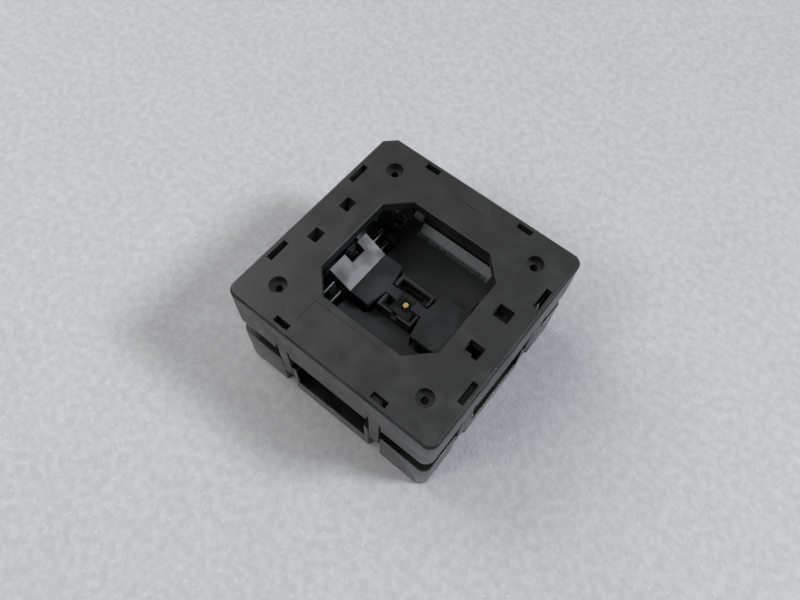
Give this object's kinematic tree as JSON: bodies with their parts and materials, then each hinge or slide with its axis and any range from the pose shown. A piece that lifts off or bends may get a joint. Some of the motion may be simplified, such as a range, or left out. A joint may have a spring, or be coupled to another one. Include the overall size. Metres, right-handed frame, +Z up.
{
  "type": "ic test socket",
  "caption": "Square moulded test socket for a small chip package, with a press-down cover and two swinging latches.",
  "frame": {"origin": "middle of the underside of the base housing", "axes": "+Z up through the cover window, +X from the left latch to the right latch, +Y towards the back comb; the cut key corner is at -X +Y"},
  "size_m": [0.042, 0.042, 0.0252],
  "materials": {
    "black_cover": "satin",
    "black_base": "satin",
    "dark_deck": "matte",
    "dark_nest": "matte",
    "comb_plastic": "satin",
    "latch_plastic": "satin",
    "pin_steel": "satin",
    "spring_steel": "satin",
    "contact_metal": "polished",
    "screw_steel": "satin"
  },
  "bodies": {
    "socket_base": {"base_housing": "black_base", "deck_plate": "dark_deck", "comb_back": "comb_plastic", "comb_front": "comb_plastic", "comb_left": "comb_plastic", "comb_right": "comb_plastic", "nest_guide": "dark_nest", "center_contact_insert": "comb_plastic", "center_contact_barrel": "spring_steel", "contacts_back": "contact_metal", "contacts_front": "contact_metal", "contacts_left": "contact_metal", "contacts_right": "contact_metal", "nest_contacts": "contact_metal", "contact_stopper_plate": "black_base", "deck_screws": "screw_steel", "pivot_pin_left": "pin_steel", "pivot_pin_right": "pin_steel", "return_spring_1": "spring_steel", "return_spring_2": "spring_steel", "return_spring_3": "spring_steel", "return_spring_4": "spring_steel"},
    "press_cover": {"cover": "black_cover"},
    "left_latch": {"latch_left": "latch_plastic", "cam_pin_left": "pin_steel"},
    "right_latch": {"latch_right": "latch_plastic", "cam_pin_right": "pin_steel"},
    "centre_plunger": {"center_contact": "contact_metal"}
  },
  "joints": [
    {"name": "cover_press", "type": "slide", "parent": "socket_base", "child": "press_cover", "axis": [0, 0, 1], "range_m": [-0.0025, 0], "stiffness_N_per_m": 1500, "springref_m": 0.004, "deforming": ["return_spring_1", "return_spring_2", "return_spring_3", "return_spring_4"]},
    {"name": "latch_left_swing", "type": "hinge", "parent": "socket_base", "child": "left_latch", "pos_m": [-0.0108, 0, 0.0139], "axis": [0, 1, 0], "range_deg": [-72, 0]},
    {"name": "latch_right_swing", "type": "hinge", "parent": "socket_base", "child": "right_latch", "pos_m": [0.0108, 0, 0.0139], "axis": [0, 1, 0], "range_deg": [0, 72]},
    {"name": "centre_contact_press", "type": "slide", "parent": "socket_base", "child": "centre_plunger", "axis": [0, 0, 1], "range_m": [-0.0003, 0], "stiffness_N_per_m": 500, "springref_m": 0.0003}
  ],
  "couplings": [
    {"joint": "latch_left_swing", "follows": "cover_press", "rad_per_m": 502.65},
    {"joint": "latch_right_swing", "follows": "cover_press", "rad_per_m": -502.65}
  ]
}
